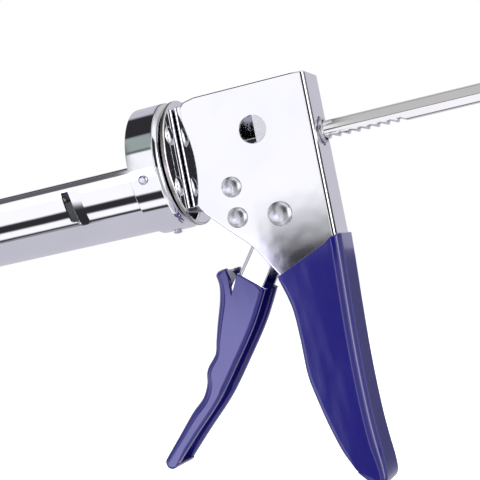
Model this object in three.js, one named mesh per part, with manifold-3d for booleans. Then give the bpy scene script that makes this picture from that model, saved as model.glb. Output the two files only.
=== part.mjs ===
// A ratchet caulking gun: a folded sheet-steel body with a fixed handle, a sprung trigger that drives a
// toothed push rod, and a half-round cartridge cradle that turns on the front of the body.
// Millimetres. +X runs rearwards along the barrel, +Y is the gun's right side, +Z is up.
// The drawing's X = 0 is the mouth of the rear cup and Z = 0 the barrel axis; the finished gun is then
// shifted along X so that the origin is the centre of the plunger's front face.
import * as THREE from "three";
import { mergeVertices } from "three/addons/utils/BufferGeometryUtils.js";
import Module from "manifold-3d";

const wasm = await Module();
wasm.setup();

// ---- driving dimensions ----
const GAP = 0.3; // clearance between neighbouring pieces
const SHEET = 1.5; // body, trigger and bracket steel
const VINYL = 1.3; // dipped coating on the handle and the trigger

const BODY_HALF = 11; // half the body's outer width
const BODY_FRONT = 18.9;
const SPINE_X = 80;
const SPINE_FOOT = -43.5; // where the flat spine ends and the handle begins
const BODY_TOP = 25.8;
const BODY_BEND = 2; // outer radius of the folds
const FLANGE_DEPTH = 6; // how far the front flanges fold inwards

const CUP_RADIUS = 28.2;
const CUP_SHEET = 1.2;
const CUP_DEPTH = 15.4;
const CUP_FILLET = 3;
const PLATE_RADIUS = 28;
const PLATE_X = [16.6, 18.6];
const PLATE_BUMP = { radius: 4, height: 1.3, pitch: 22.2, angles: [30, 150, 210, 330] };

const TROUGH_OUTER = 26.7;
const TROUGH_SHEET = 1.2;
const TROUGH_NOSE = -231;
const TROUGH_REAR = 11.5;
const BEAD_RADIUS = 1.2;
const STOP_WINDOW = { from: -34, to: -25.3, low: 6, high: 44 }; // degrees below the rim
const STOP_STRAP = { from: -31, to: -25.6, depth: 2 };

const NOSE_PLATE_X = [-220, -218];
const NOSE_RADIUS = TROUGH_OUTER - TROUGH_SHEET - GAP;
const NOSE_TOP = 7;
const NOSE_SLOT = 21;
const NOSE_RIM = 9;

const BUSH_RADIUS = 6;
const BUSH_BORE = 4.5;
const BUSH_FLANGE = { from: 11.9, to: 13.9, radius: 13 };
const BUSH_END = 27.5;
const SWIVEL_WASHER = { from: 15.7, to: 16.3, radius: 17 };
const SWIVEL_NUT = { from: 22.5, to: 26.5, flats: 15.4 };
const BRACKET_WEB = [20.7, 22.2];

const ROD_RADIUS = 4;
const ROD_FRONT = -148.9;
const ROD_REAR = 158;
const HOOK_BEND = 9; // centre-line radius of the rod's rear bend
const HOOK_DROP = 24;
const TOOTH_PITCH = 4.3;
const TOOTH_DEPTH = 1.7;
const TOOTH_COUNT = 50;
const TOOTH_LAST = 117; // rear end of the toothed length
const GUIDE = { bore: 4.35, neck: 5.3, shoulder: 6, flange: 8 }; // where the rod leaves the spine

const PLUNGER_FACE = -155;
const PLUNGER_RADIUS = 22.5;
const RIVET_HOLE = 2.8; // through the plunger's two discs and into the rod's end

const PIVOT = { x: 57.7, z: -31.4 };
const TRIGGER_HALF = 9.2; // half the trigger's outer width in bare steel
const CUTTER_HOLE = { x: 53, z: 6.4, radius: 6 };
const CUTTER_EDGE = 53.2;
const DRIVE_PIN = { x: 60, z: -14.2, radius: 1.6 };
const PAWL_HALF = 3.4; // half the width of both pawls
const HANG_HOLE = { x: 74, z: -140, radius: 3 }; // through the handle's steel, under the vinyl
const TRIGGER_RIVET = { ...PIVOT, shank: 3.1, head: 5.4, rise: 2.9 };
const BRACKET_RIVET = { shank: 2.3, head: 4.5, rise: 2.5 };
const BRACKET_RIVETS = [
  { name: "bracket_rivet_upper", x: 38.7, z: -15.7 }, // the holding pawl turns on this one
  { name: "bracket_rivet_lower", x: 38.8, z: -29.1 },
];
const CRADLE_RIVET = { shank: 1.4, head: 2.4, rise: 0.7 };
// Radial rivets of the cradle, by their angle from +Y towards +Z.
const CUP_RIVETS = [
  { name: "cup_rivet_left", x: 6.2, degrees: 192 },
  { name: "cup_rivet_right", x: 6.2, degrees: -12 },
  { name: "cup_rivet_bottom", x: 6.2, degrees: -90 },
];
const NOSE_RIVETS = [
  { name: "nose_rivet_left", x: -225, degrees: 215 },
  { name: "nose_rivet_right", x: -225, degrees: -35 },
  { name: "nose_rivet_bottom", x: -225, degrees: -90 },
];

const FINE = 40; // sides of the large round pieces
const ROUND = 16; // sides of pins and rivets
const FAR = 200; // longer than anything it cuts

// ---- solids ----
function signedVolume(place, corners) {
  const [a, b, c] = [new THREE.Vector3(), new THREE.Vector3(), new THREE.Vector3()];
  let sum = 0;
  for (let i = 0; i < corners.length; i += 3) {
    a.fromArray(place, 3 * corners[i]);
    b.fromArray(place, 3 * corners[i + 1]);
    c.fromArray(place, 3 * corners[i + 2]);
    sum += a.dot(b.cross(c));
  }
  return sum;
}

// A closed three.js geometry as a manifold solid with its faces turned outwards.
function solid(geometry) {
  const bare = geometry.clone();
  bare.deleteAttribute("normal");
  bare.deleteAttribute("uv");
  const merged = mergeVertices(bare, 1e-4);
  const place = merged.attributes.position.array;
  const index = merged.index.array;
  const corners = [];
  for (let i = 0; i < index.length; i += 3) {
    const [a, b, c] = [index[i], index[i + 1], index[i + 2]];
    if (a !== b && b !== c && c !== a) corners.push(a, b, c);
  }
  if (signedVolume(place, corners) < 0) corners.reverse();
  return new wasm.Manifold(
    new wasm.Mesh({ numProp: 3, vertProperties: place, triVerts: new Uint32Array(corners) }),
  );
}

function join(...solids) {
  return solids.reduce((a, b) => a.add(b));
}

function cut(blank, ...tools) {
  return tools.reduce((a, b) => a.subtract(b), blank);
}

function geometryOf(made) {
  const mesh = made.getMesh();
  const geometry = new THREE.BufferGeometry();
  geometry.setAttribute("position", new THREE.BufferAttribute(mesh.vertProperties, 3));
  geometry.setIndex(new THREE.BufferAttribute(mesh.triVerts, 1));
  geometry.computeVertexNormals();
  return geometry;
}

// ---- shapes drawn in a plane, then swept ----
const points = (list) => list.map(([x, y]) => new THREE.Vector2(x, y));
const smooth = (list, steps) => new THREE.SplineCurve(points(list)).getPoints(steps);
const shapeOf = (outline) => new THREE.Shape(outline);

function extruded(outline, depth) {
  return new THREE.ExtrudeGeometry(shapeOf(outline), { depth, bevelEnabled: false, steps: 1 });
}

// An outline in the X-Z plane, swept along Y from low to high.
function sidePlate(outline, low, high) {
  return solid(extruded(outline, high - low).rotateX(Math.PI / 2).translate(0, high, 0));
}

// An outline in the Y-Z plane, swept along X from low to high.
const ALONG_X = new THREE.Matrix4().makeBasis(
  new THREE.Vector3(0, 1, 0),
  new THREE.Vector3(0, 0, 1),
  new THREE.Vector3(1, 0, 0),
);
function crossPlate(outline, low, high) {
  return solid(extruded(outline, high - low).applyMatrix4(ALONG_X).translate(low, 0, 0));
}

function box(x, y, z) {
  const size = [x, y, z].map(([low, high]) => high - low);
  const middle = [x, y, z].map(([low, high]) => (low + high) / 2);
  return solid(new THREE.BoxGeometry(...size).translate(...middle));
}

// A cylinder along Y through (x, z).
function pinY(x, z, radius, low, high, sides = ROUND) {
  const geometry = new THREE.CylinderGeometry(radius, radius, high - low, sides);
  return solid(geometry.translate(x, (low + high) / 2, z));
}

// A cylinder along X on the barrel axis.
function pinX(radius, low, high, sides = ROUND) {
  const geometry = new THREE.CylinderGeometry(radius, radius, high - low, sides);
  return solid(geometry.rotateZ(Math.PI / 2).translate((low + high) / 2, 0, 0));
}

// A profile of [radius, x] points turned about the barrel axis.
function turnedX(profile, sides = FINE) {
  return solid(new THREE.LatheGeometry(points(profile), sides).rotateZ(-Math.PI / 2));
}

function arc(cx, cy, radius, from, to, steps) {
  return Array.from({ length: steps + 1 }, (_, i) => {
    const angle = THREE.MathUtils.degToRad(from + ((to - from) * i) / steps);
    return [cx + radius * Math.cos(angle), cy + radius * Math.sin(angle)];
  });
}

// Moves each point of a closed outline outwards by a distance, along the bisector of its corner.
function grown(outline, distance) {
  const area = THREE.ShapeUtils.area(outline);
  const side = area > 0 ? 1 : -1;
  return outline.map((here, i) => {
    const before = outline[(i + outline.length - 1) % outline.length];
    const after = outline[(i + 1) % outline.length];
    const inward = here.clone().sub(before).normalize();
    const onward = after.clone().sub(here).normalize();
    const normal = new THREE.Vector2(inward.y + onward.y, -inward.x - onward.x).normalize();
    const spread = Math.max(0.5, normal.x * onward.y - normal.y * onward.x);
    return here.clone().addScaledVector(normal, (side * distance) / spread);
  });
}

// A spring's wire: a tube along a curve through the given points.
function wire(path, radius, steps) {
  const curve = new THREE.CatmullRomCurve3(path.map((p) => new THREE.Vector3(...p)));
  const section = shapeOf(points(arc(0, 0, radius, 0, 288, 4)));
  return solid(new THREE.ExtrudeGeometry(section, { steps, extrudePath: curve }));
}

// A coil round a pin that lies along Y. Each leg leaves the coil along its tangent.
function torsionSpring({ x, z, coil, gauge, low, turns, legA, legB }) {
  const tangentAt = (dx, dz) => Math.atan2(-dx, dz);
  const start = tangentAt(x - legA[0], z - legA[2]);
  const rest = tangentAt(legB[0] - x, legB[2] - z) - start;
  const sweep = 2 * Math.PI * (turns + (rest < 0 ? 1 : 0)) + rest;
  const stops = Math.round((9 * sweep) / (2 * Math.PI));
  const path = [legA];
  for (let i = 0; i <= stops; i++) {
    const angle = start + (sweep * i) / stops;
    const rise = (gauge * 2.3 * sweep * i) / (stops * 2 * Math.PI);
    path.push([x + coil * Math.cos(angle), low + rise, z + coil * Math.sin(angle)]);
  }
  path.push([legB[0], path[path.length - 1][1], legB[2]]);
  return wire(path, gauge, path.length * 2);
}

// A rivet along Y through (x, z): shank, and a domed head outside each side plate of the body.
function rivetY({ x, z, shank, head, rise }) {
  const face = BODY_HALF + GAP;
  const dome = arc(0, 0, 1, 0, 90, 3).map(([c, s]) => [head * c, face + rise * s]);
  const profile = [...dome.map(([r, h]) => [r, -h]).reverse(), [shank, -face], [shank, face], ...dome];
  return solid(new THREE.LatheGeometry(points(profile), ROUND).translate(x, 0, z));
}

// A small radial rivet of the cradle, with low heads inside and outside the walls it holds.
function rivetRadial({ x, degrees }, inner, outer) {
  const { shank, head, rise } = CRADLE_RIVET;
  const profile = [
    [0, inner - rise],
    [head, inner - rise],
    [head, inner],
    [shank, inner],
    [shank, outer],
    [head, outer],
    [head * 0.7, outer + rise],
    [0, outer + rise],
  ];
  const geometry = new THREE.LatheGeometry(points(profile), 12);
  return solid(geometry.rotateX(THREE.MathUtils.degToRad(degrees)).translate(x, 0, 0));
}

// ---- the body: two side plates, a closed spine and two folded front flanges ----
const HANDLE_FRONT = [
  [53, -58.5],
  [56.3, -71],
  [57.1, -85],
  [57.2, -100],
  [59.2, -111],
  [62.1, -123],
  [65.9, -134.6],
  [70.2, -142.4],
];
const HANDLE_END = [
  [73.2, -146.6],
  [76.2, -149.4],
  [78.8, -148.6],
];
const HANDLE_SPINE = [
  [79.4, -142],
  [78.2, -122],
  [78, -100],
  [78.6, -78],
  [79.6, -56],
];
const DIP_LINE = [
  [51.4, -57.2],
  [80.2, -44.6],
];

const handleFront = () => smooth(HANDLE_FRONT, 16);
const handleBack = () => smooth([...HANDLE_END, ...HANDLE_SPINE], 18);

function bodyOutline() {
  const brow = new THREE.QuadraticBezierCurve(...points([[27.5, 26.1], [20.4, 25.9], [BODY_FRONT, 23.4]]));
  return [
    ...points([[SPINE_X, BODY_TOP]]),
    ...brow.getPoints(4),
    ...points([[BODY_FRONT, -17.5], [21.6, -22], [33.2, -33.4], [41.2, -41], [44.6, -45.2]]),
    ...handleFront(),
    ...handleBack(),
    ...points([[SPINE_X, SPINE_FOOT]]),
  ];
}

// The room inside the channel, with its rear wall a given distance in front of the spine.
function channelRoom(wall) {
  const back = [...handleBack(), ...points([[SPINE_X, SPINE_FOOT], [SPINE_X, FAR]])];
  return [
    ...points([[-FAR, FAR], [-FAR, -FAR]]),
    ...points([[back[0].x, -FAR]]),
    ...back,
  ].map((p) => (p.x > 0 ? new THREE.Vector2(p.x - wall, p.y) : p));
}

const bushingHole = () => pinX(BUSH_RADIUS + GAP, 0, BUSH_END + 10, 24);

function frontFlanges() {
  const reach = [BODY_FRONT, BODY_FRONT + SHEET];
  const sides = [-1, 1].map((side) => {
    const y = [side * (BODY_HALF - SHEET / 2), side * (BODY_HALF - FLANGE_DEPTH)].sort((a, b) => a - b);
    return box(reach, y, [-17, 22]);
  });
  return cut(join(...sides), bushingHole());
}

// Rounds the two folds of the spine: what stays is inside this outline, seen from above.
function foldedSpine() {
  const corner = (side) =>
    arc(SPINE_X - BODY_BEND, side * (BODY_HALF - BODY_BEND), BODY_BEND, 0, side * 90, 4);
  const outline = points([[-FAR, -BODY_HALF], ...corner(-1).reverse(), ...corner(1), [-FAR, BODY_HALF]]);
  return solid(extruded(outline, 2 * FAR).translate(0, 0, -FAR));
}

const bracketRivetHoles = () =>
  BRACKET_RIVETS.map(({ x, z }) => pinY(x, z, BRACKET_RIVET.shank + GAP, -FAR, FAR));

function bodyFrame() {
  const blank = sidePlate(bodyOutline(), -BODY_HALF, BODY_HALF);
  const inside = BODY_HALF - SHEET;
  const shell = cut(blank, sidePlate(channelRoom(SHEET), -inside, inside));
  return cut(
    join(shell, frontFlanges()).intersect(foldedSpine()),
    ...bracketRivetHoles(),
    pinY(PIVOT.x, PIVOT.z, TRIGGER_RIVET.shank + GAP, -FAR, FAR),
    pinY(HANG_HOLE.x, HANG_HOLE.z, HANG_HOLE.radius, -FAR, FAR),
    pinY(CUTTER_HOLE.x, CUTTER_HOLE.z, CUTTER_HOLE.radius, -FAR, 0, 28),
    pinX(GUIDE.shoulder + GAP, SPINE_X - 6, SPINE_X + 6, 24),
  );
}

// ---- dipped vinyl: a sleeve that leaves room for the steel inside it ----
function below([[x0, z0], [x1, z1]]) {
  const slope = (z1 - z0) / (x1 - x0);
  const at = (x) => [x, z0 + slope * (x - x0)];
  const floor = -2 * FAR;
  return sidePlate(points([at(-FAR), at(FAR), [FAR, floor], [-FAR, floor]]), -FAR, FAR);
}

function handleChannel(grow) {
  const steel = [
    ...points([[50, -52], [53, -58.5]]),
    ...handleFront(),
    ...handleBack(),
    ...points([[SPINE_X, SPINE_FOOT], [SPINE_X, SPINE_FOOT + 4]]),
  ];
  const outline = grown(steel.filter((p, i) => !i || p.distanceTo(steel[i - 1]) > 0.01), grow);
  const blank = sidePlate(outline, -BODY_HALF - grow, BODY_HALF + grow);
  const inside = BODY_HALF - SHEET - grow;
  return cut(blank, sidePlate(channelRoom(SHEET + grow), -inside, inside));
}

function handleGrip() {
  const sleeve = cut(handleChannel(GAP + VINYL), handleChannel(GAP));
  return sleeve.intersect(below(DIP_LINE));
}

// ---- the trigger: two walls joined by a web on the finger side ----
const FINGER_SIDE = [
  [24.4, -50],
  [25.1, -56],
  [23.7, -63],
  [20.9, -72],
  [18.9, -79.4],
  [17.1, -85.6],
  [12, -91.6],
  [10.2, -97.6],
  [7, -103.6],
  [0.7, -109.4],
  [-7, -118],
  [-15.4, -127.4],
];
const THUMB_SIDE = [
  [-12.6, -128.6],
  [-1.7, -117.6],
  [12.4, -103.8],
  [24.6, -88.4],
  [34.9, -74.2],
  [42.6, -60.6],
];
const TRIGGER_DIP = [
  [33.6, -52.6],
  [44, -60.8],
];

const fingerSide = () => smooth(FINGER_SIDE, 36);
const thumbSide = () => smooth(THUMB_SIDE, 12);

function gripWall() {
  const front = fingerSide().filter((p) => p.y < -64);
  return [...points([[38, -48.4], [33.8, -52]]), ...front, ...thumbSide(), ...points([[46, -54]])];
}

function gripWeb(thickness) {
  const front = fingerSide();
  const back = front.map((p, i) => {
    const ahead = front[Math.min(i + 1, front.length - 1)];
    const behind = front[Math.max(i - 1, 0)];
    const along = ahead.clone().sub(behind).normalize();
    return new THREE.Vector2(p.x - along.y * thickness, p.y + along.x * thickness);
  });
  return [...front, ...back.reverse()];
}

function triggerChannel(grow) {
  const wall = grown(gripWall(), grow);
  const [low, high] = [TRIGGER_HALF - SHEET - grow, TRIGGER_HALF + grow];
  return join(
    sidePlate(wall, low, high),
    sidePlate(wall, -high, -low),
    sidePlate(grown(gripWeb(SHEET), grow), -high, high),
  );
}

// The arm above the pivot: its straight front edge is the nozzle cutter on the gun's left side.
function triggerArm() {
  return points([
    [CUTTER_EDGE + 1.2, 14.6],
    [CUTTER_EDGE, 13.4],
    [CUTTER_EDGE, -1],
    [50.6, -14],
    [47.6, -29],
    [44.2, -37.4],
    [33.8, -52],
    [38, -56],
    [42.6, -60.6],
    [49.1, -51.6],
    [60.5, -40.4],
    [66.4, -33],
    [66.4, -26],
    [64.6, -12],
    [62.6, 12],
    [60.4, 14.6],
  ]);
}

// What is ground off the left arm's front edge to sharpen it.
function cutterBevel() {
  const outside = -TRIGGER_HALF - 0.1;
  const wedge = points([
    [CUTTER_EDGE - 0.1, outside],
    [CUTTER_EDGE + 2.2, outside],
    [CUTTER_EDGE - 0.1, outside + 1.3],
  ]);
  return solid(extruded(wedge, 16).translate(0, 0, -1));
}

function triggerLever() {
  const arm = triggerArm();
  const walls = [-1, 1].map((side) => {
    const y = [side * TRIGGER_HALF, side * (TRIGGER_HALF - SHEET)].sort((a, b) => a - b);
    return sidePlate(arm, ...y);
  });
  return cut(
    join(...walls, triggerChannel(0)),
    cutterBevel(),
    pinY(PIVOT.x, PIVOT.z, TRIGGER_RIVET.shank + GAP, -FAR, FAR),
    pinY(DRIVE_PIN.x, DRIVE_PIN.z, DRIVE_PIN.radius + GAP, -FAR, FAR, 12),
  );
}

function triggerGrip() {
  const sleeve = cut(triggerChannel(GAP + VINYL), triggerChannel(GAP));
  return sleeve.intersect(join(below(TRIGGER_DIP), box([0, 29], [-FAR, FAR], [-75, -40])));
}

// ---- pawls and springs ----
// A pawl's plate: an eye round its pivot and an arm up and forward to a tip just under the rod.
function pawl(pivot, bore, eye, tip) {
  const outline = [
    ...arc(pivot.x, pivot.z, eye, -150, 60, 8),
    [tip.x + 2.6, tip.z - 0.2],
    [tip.x, tip.z],
    [tip.x - 0.4, tip.z - 2.4],
  ];
  const plate = sidePlate(points(outline), -PAWL_HALF, PAWL_HALF);
  return cut(plate, pinY(pivot.x, pivot.z, bore + GAP, -FAR, FAR, 12));
}

const PAWL_TIP_Z = -ROD_RADIUS - 0.5;
const HOLD_PIVOT = BRACKET_RIVETS[0];
const drivePawl = () => pawl(DRIVE_PIN, DRIVE_PIN.radius, 3.6, { x: 54.6, z: PAWL_TIP_Z });
const holdingPawl = () => pawl(HOLD_PIVOT, BRACKET_RIVET.shank, 4.4, { x: 32.6, z: PAWL_TIP_Z });

function triggerSpring() {
  const legs = { legA: [77.4, -2.6, -20], legB: [29.4, 0, -57.4] };
  return torsionSpring({ ...PIVOT, coil: 4.6, gauge: 0.6, low: -2.6, turns: 3, ...legs });
}

function drivePawlSpring() {
  const legs = { legA: [61.5, 4.2, -29.5], legB: [56.4, 0, -8] };
  return torsionSpring({ ...DRIVE_PIN, coil: 2.4, gauge: 0.35, low: 4.2, turns: 2, ...legs });
}

function holdingPawlSpring() {
  const legs = { legA: [41.6, 4.2, -26], legB: [34.6, 0, -8] };
  return torsionSpring({ ...HOLD_PIVOT, coil: 3.1, gauge: 0.35, low: 4.2, turns: 2, ...legs });
}

// ---- the swivel joint between body and cradle ----
function ring(bore, radius, from, to) {
  return turnedX([[bore, from], [radius, from], [radius, to], [bore, to], [bore, from]]);
}

function frontPlate() {
  const disc = ring(BUSH_RADIUS + GAP, PLATE_RADIUS, ...PLATE_X);
  const dome = arc(0, 0, 1, 0, 90, 3).map(([c, s]) => [PLATE_BUMP.radius * c, PLATE_BUMP.height * s]);
  const bumps = PLATE_BUMP.angles.map((angle) => {
    const geometry = new THREE.LatheGeometry(points([[0, -1], [PLATE_BUMP.radius, -1], ...dome]), 16);
    const turn = THREE.MathUtils.degToRad(angle);
    const [y, z] = [PLATE_BUMP.pitch * Math.cos(turn), PLATE_BUMP.pitch * Math.sin(turn)];
    return solid(geometry.rotateZ(-Math.PI / 2).translate(PLATE_X[1], y, z));
  });
  return join(disc, ...bumps);
}

function frontBracket() {
  const [front] = BRACKET_WEB;
  const half = TRIGGER_HALF;
  const web = box(BRACKET_WEB, [-half, half], [-22, 14]);
  const ear = points([[front, -9], [34, -9], [43, -12.5], [43, -31], [38, -33.6], [34, -33.2], [front, -21]]);
  const ears = [sidePlate(ear, half - SHEET, half), sidePlate(ear, -half, SHEET - half)];
  return cut(join(web, ...ears), bushingHole(), ...bracketRivetHoles());
}

function swivelBushing() {
  const { from, to, radius } = BUSH_FLANGE;
  return turnedX([
    [BUSH_BORE, from],
    [radius - 1, from],
    [radius, from + 1],
    [radius, to],
    [BUSH_RADIUS, to],
    [BUSH_RADIUS, BUSH_END],
    [BUSH_BORE, BUSH_END],
    [BUSH_BORE, from],
  ], 24);
}

function swivelNut() {
  const hex = points(arc(0, 0, SWIVEL_NUT.flats / Math.sqrt(3), 30, 330, 5).map(([y, z]) => [z, y]));
  const blank = crossPlate(hex, SWIVEL_NUT.from, SWIVEL_NUT.to);
  return cut(blank, bushingHole());
}

function swivelWasher() {
  return ring(BUSH_RADIUS + GAP, SWIVEL_WASHER.radius, SWIVEL_WASHER.from, SWIVEL_WASHER.to);
}

function rearCup() {
  const back = CUP_DEPTH;
  const inner = CUP_RADIUS - CUP_SHEET;
  const hole = BUSH_RADIUS + GAP;
  const outside = arc(CUP_RADIUS - CUP_FILLET, back - CUP_FILLET, CUP_FILLET, 0, 90, 3);
  const bend = CUP_FILLET - CUP_SHEET;
  const inside = arc(CUP_RADIUS - CUP_FILLET, back - CUP_FILLET, bend, 90, 0, 3);
  const profile = [[inner, 0], [CUP_RADIUS, 0], ...outside, [hole, back], [hole, back - CUP_SHEET],
    ...inside, [inner, 0]];
  return cut(turnedX(profile), ...CUP_RIVETS.map(radialHole));
}

// ---- the cradle ----
function radialHole({ x, degrees }) {
  const radius = CRADLE_RIVET.shank + GAP;
  const geometry = new THREE.CylinderGeometry(radius, radius, 40, 12).translate(0, 30, 0);
  return solid(geometry.rotateX(THREE.MathUtils.degToRad(degrees)).translate(x, 0, 0));
}

function halfRing(outer, inner, steps) {
  return points([...arc(0, 0, outer, 180, 360, steps), ...arc(0, 0, inner, 360, 180, steps)]);
}

// The lanced strap that stops a cartridge: it dips inwards between two slots in the wall.
function stopStrap(side) {
  const { low, high } = STOP_WINDOW;
  const steps = 14;
  const middle = TROUGH_OUTER - TROUGH_SHEET / 2;
  const edge = (offset, reverse) => {
    const run = Array.from({ length: steps + 1 }, (_, i) => {
      const t = i / steps;
      const dip = STOP_STRAP.depth * Math.min(1, 2.4 * Math.sin(Math.PI * t));
      const angle = THREE.MathUtils.degToRad(-(low - 3 + (high - low + 6) * t));
      const radius = middle + offset - dip;
      return [side * radius * Math.cos(angle), radius * Math.sin(angle)];
    });
    return reverse ? run.reverse() : run;
  };
  const half = TROUGH_SHEET / 2 - 0.05;
  return crossPlate(points([...edge(half, false), ...edge(-half, true)]), STOP_STRAP.from, STOP_STRAP.to);
}

function stopWindow(side) {
  const { from, to, low, high } = STOP_WINDOW;
  const near = arc(0, 0, 20, -low, -high, 6);
  const far = arc(0, 0, 32, -high, -low, 6);
  return crossPlate(points([...near, ...far].map(([y, z]) => [side * y, z])), from, to);
}

function barrelTrough() {
  const section = halfRing(TROUGH_OUTER, TROUGH_OUTER - TROUGH_SHEET, 32);
  const wall = crossPlate(section, TROUGH_NOSE, TROUGH_REAR);
  const rims = [-1, 1].map((side) => {
    const bead = arc(side * TROUGH_OUTER, 0, BEAD_RADIUS, 0, 330, 11);
    return crossPlate(points(bead), TROUGH_NOSE, -0.6);
  });
  const windows = [-1, 1].map(stopWindow);
  const straps = [-1, 1].map(stopStrap);
  const holes = [...CUP_RIVETS, ...NOSE_RIVETS].map(radialHole);
  const pierced = cut(join(wall, ...rims), ...windows);
  return cut(join(pierced, ...straps), ...holes);
}

function noseOutline() {
  const half = NOSE_SLOT / 2;
  const degrees = THREE.MathUtils.radToDeg(Math.asin(NOSE_TOP / NOSE_RADIUS));
  return points([
    ...arc(0, 0, NOSE_RADIUS, 180 - degrees, 360 + degrees, 36),
    [half, NOSE_TOP],
    ...arc(0, 0, half, 0, -180, 12),
    [-half, NOSE_TOP],
  ]);
}

function nosePlate() {
  const plate = crossPlate(noseOutline(), ...NOSE_PLATE_X);
  const [front] = NOSE_PLATE_X;
  const rim = crossPlate(halfRing(NOSE_RADIUS, NOSE_RADIUS - SHEET, 36), front - NOSE_RIM, front + 0.5);
  return cut(join(plate, rim), ...NOSE_RIVETS.map(radialHole));
}

// ---- the push rod ----
// Teeth face rearwards under the rod: each notch is a long ramp that ends in a steep face.
function toothNotches() {
  const floor = -ROD_RADIUS - 1;
  return Array.from({ length: TOOTH_COUNT }, (_, i) => {
    const rear = TOOTH_LAST - i * TOOTH_PITCH;
    const front = rear - TOOTH_PITCH + 0.7;
    const top = -ROD_RADIUS + TOOTH_DEPTH;
    const ramp = [[rear, floor], [rear, -ROD_RADIUS], [front + 0.3, top]];
    return sidePlate(points([[front, floor], ...ramp, [front, top]]), -2 * ROD_RADIUS, 2 * ROD_RADIUS);
  });
}

function pushRod() {
  const shank = pinX(ROD_RADIUS, ROD_FRONT, ROD_REAR, 16);
  const bend = arc(ROD_REAR, -HOOK_BEND, HOOK_BEND, 90, 0, 6).map(([x, z]) => new THREE.Vector3(x, 0, z));
  const tail = new THREE.Vector3(ROD_REAR + HOOK_BEND, 0, -HOOK_BEND - HOOK_DROP);
  const curve = new THREE.CurvePath();
  [new THREE.Vector3(ROD_REAR - 1, 0, 0), ...bend].reduce((a, b) => {
    curve.add(new THREE.LineCurve3(a, b));
    return b;
  });
  curve.add(new THREE.LineCurve3(bend[bend.length - 1], tail));
  const section = shapeOf(points(arc(0, 0, ROD_RADIUS - 0.01, 0, 337.5, 15)));
  const hook = solid(new THREE.ExtrudeGeometry(section, { steps: 20, extrudePath: curve }));
  const end = new THREE.SphereGeometry(ROD_RADIUS - 0.02, 16, 8);
  const tip = solid(end.translate(tail.x, 0, tail.z));
  return cut(join(shank, hook, tip), pinX(RIVET_HOLE, ROD_FRONT - 1, ROD_FRONT + 9, 12), ...toothNotches());
}

function plungerDisc() {
  const face = PLUNGER_FACE + 1.9;
  const radius = PLUNGER_RADIUS;
  return turnedX([
    [RIVET_HOLE, face],
    [radius - 2.4, face],
    ...arc(radius - 2.4, face + 2.4, 2.4, -90, 0, 3),
    [radius, face + 5],
    [radius - SHEET, face + 5],
    [radius - SHEET, face + 2.6],
    [radius - 3, face + SHEET],
    [RIVET_HOLE, face + SHEET],
    [RIVET_HOLE, face],
  ]);
}

function plungerBacking() {
  const front = PLUNGER_FACE + 3.7;
  return ring(RIVET_HOLE, 12, front, front + 1.8);
}

function plungerRivet() {
  const front = PLUNGER_FACE;
  const shank = RIVET_HOLE - GAP;
  return turnedX([
    [0, front],
    [7.4, front],
    [8, front + 0.6],
    [8, front + 1.6],
    [shank, front + 1.6],
    [shank, front + 13],
    [0, front + 13],
  ], 24);
}

function rodGuide() {
  const { bore, neck, shoulder, flange } = GUIDE;
  const inner = SPINE_X - SHEET - GAP; // where its flange bears on the spine's inner face
  const step = SPINE_X - SHEET / 2;
  const rear = SPINE_X + SHEET;
  return turnedX([
    [bore, inner - SHEET],
    [flange, inner - SHEET],
    [flange, inner],
    [shoulder, inner],
    [shoulder, step],
    [neck, step],
    [neck, rear - 0.4],
    [neck - 0.4, rear],
    [bore, rear],
    [bore, inner - SHEET],
  ], 24);
}

// ---- finishes ----
const FINISH = {
  chrome: { color: 0xd9dce0, roughness: 0.08, metalness: 1 },
  zinc: { color: 0xc4c8cc, roughness: 0.28, metalness: 1 },
  steel: { color: 0x8d9196, roughness: 0.4, metalness: 1 },
  spring: { color: 0x6f7276, roughness: 0.35, metalness: 1 },
  vinyl: { color: 0x241f8c, roughness: 0.25, metalness: 0 },
};

function piece(name, finish, made) {
  const mesh = new THREE.Mesh(geometryOf(made), new THREE.MeshStandardMaterial(FINISH[finish]));
  mesh.name = name;
  return mesh;
}

// ---- assembly ----
function frameGroup() {
  const group = new THREE.Group();
  group.add(
    piece("body_frame", "chrome", bodyFrame()),
    piece("handle_grip", "vinyl", handleGrip()),
    piece("front_plate", "chrome", frontPlate()),
    piece("front_bracket", "steel", frontBracket()),
    piece("swivel_bushing", "steel", swivelBushing()),
    piece("swivel_nut", "zinc", swivelNut()),
    piece("swivel_washer", "spring", swivelWasher()),
    piece("trigger_rivet", "zinc", rivetY(TRIGGER_RIVET)),
    piece("trigger_spring", "spring", triggerSpring()),
    piece("holding_pawl_spring", "spring", holdingPawlSpring()),
  );
  BRACKET_RIVETS.forEach(({ name, x, z }) => {
    group.add(piece(name, "zinc", rivetY({ x, z, ...BRACKET_RIVET })));
  });
  return group;
}

function cradleGroup() {
  const group = new THREE.Group();
  group.add(
    piece("rear_cup", "chrome", rearCup()),
    piece("barrel_trough", "chrome", barrelTrough()),
    piece("nose_plate", "chrome", nosePlate()),
  );
  const troughInside = TROUGH_OUTER - TROUGH_SHEET;
  CUP_RIVETS.forEach((rivet) => {
    group.add(piece(rivet.name, "zinc", rivetRadial(rivet, troughInside - GAP, CUP_RADIUS + GAP)));
  });
  NOSE_RIVETS.forEach((rivet) => {
    const made = rivetRadial(rivet, NOSE_RADIUS - SHEET - GAP, TROUGH_OUTER + GAP);
    group.add(piece(rivet.name, "zinc", made));
  });
  return group;
}

function triggerGroup() {
  const group = new THREE.Group();
  const half = TRIGGER_HALF;
  group.add(
    piece("trigger_lever", "chrome", triggerLever()),
    piece("trigger_grip", "vinyl", triggerGrip()),
    piece("drive_pawl_pin", "steel", pinY(DRIVE_PIN.x, DRIVE_PIN.z, DRIVE_PIN.radius, -half, half, 12)),
    piece("drive_pawl", "steel", drivePawl()),
    piece("drive_pawl_spring", "spring", drivePawlSpring()),
  );
  return group;
}

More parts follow.
